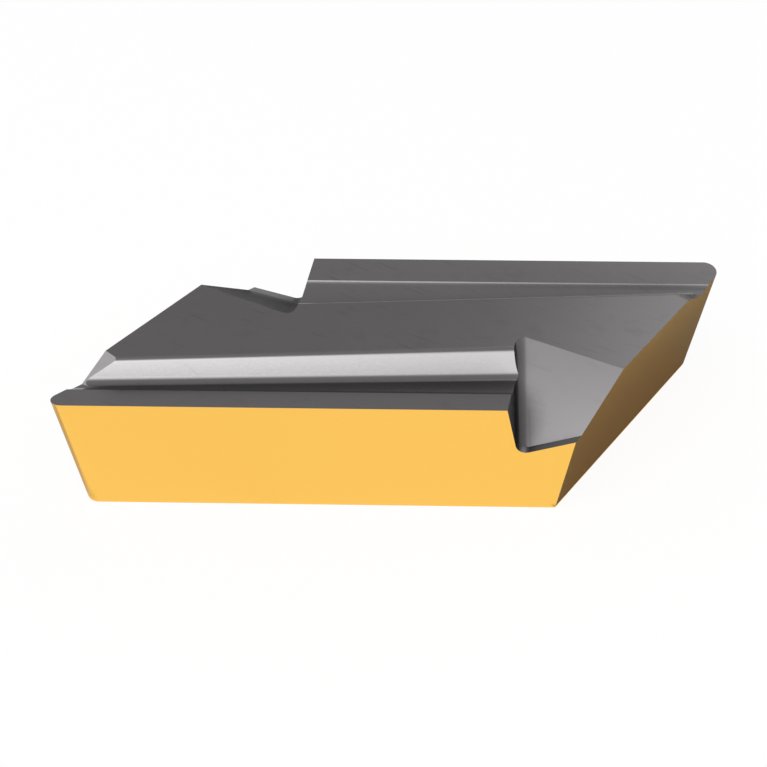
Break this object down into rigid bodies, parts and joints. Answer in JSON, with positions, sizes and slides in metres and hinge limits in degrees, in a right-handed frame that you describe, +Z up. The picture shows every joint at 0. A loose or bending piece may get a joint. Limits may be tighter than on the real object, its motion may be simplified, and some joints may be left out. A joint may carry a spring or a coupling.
{
  "type": "turning insert",
  "caption": "Rhomboid carbide turning insert with gold flanks, a dark top, an inclined chip groove behind each long cutting edge and a sloped recess in each blunt corner.",
  "frame": {"origin": "on the seat face, at the two-fold axis of the insert, which is the middle of its bounding box", "axes": "+X along the two long cutting edges, from the left nose to the right nose; +Y across the insert, towards the far long flank; +Z up, from the seat to the flat top"},
  "size_m": [0.0254, 0.0096, 0.005],
  "materials": {
    "coated_carbide": "satin gold coating on the flanks, with a smooth dark grey coating on the top"
  },
  "bodies": {
    "root": {"turning_insert": "coated_carbide"}
  },
  "joints": []
}
